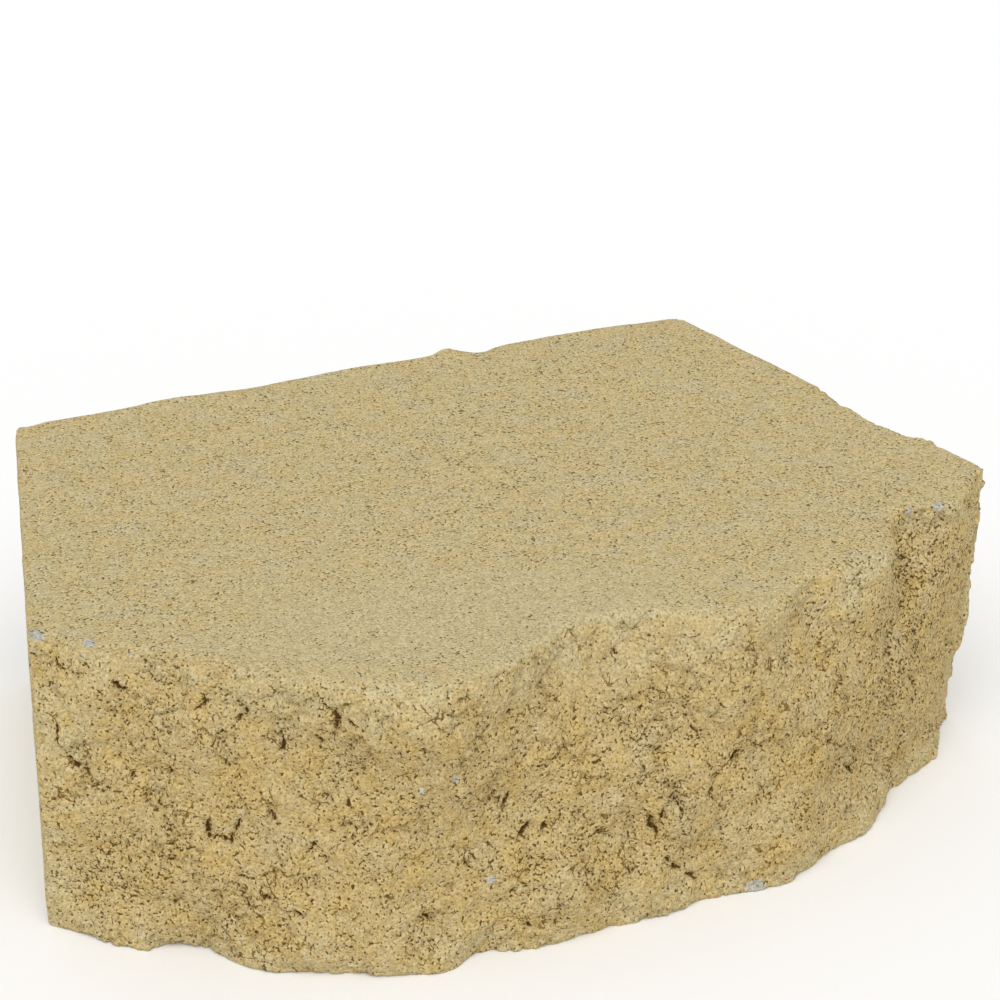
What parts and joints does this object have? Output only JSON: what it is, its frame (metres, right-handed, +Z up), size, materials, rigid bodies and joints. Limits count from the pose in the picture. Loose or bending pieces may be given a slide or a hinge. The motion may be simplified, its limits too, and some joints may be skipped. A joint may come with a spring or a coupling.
{
  "type": "wall block",
  "caption": "Split-face concrete garden wall block: flat bed and top, sides that taper to the back, and a rough broken front in three facets.",
  "frame": {"origin": "on the bed, on the centre line, half way from the back face to the split line of the middle facet", "axes": "+Z up, from the bed to the top face; +Y from the split face to the back; +X to the right seen from the front"},
  "size_m": [0.3005, 0.21, 0.092],
  "materials": {
    "concrete": "matte"
  },
  "bodies": {
    "root": {"wall_block": "concrete"}
  },
  "joints": []
}
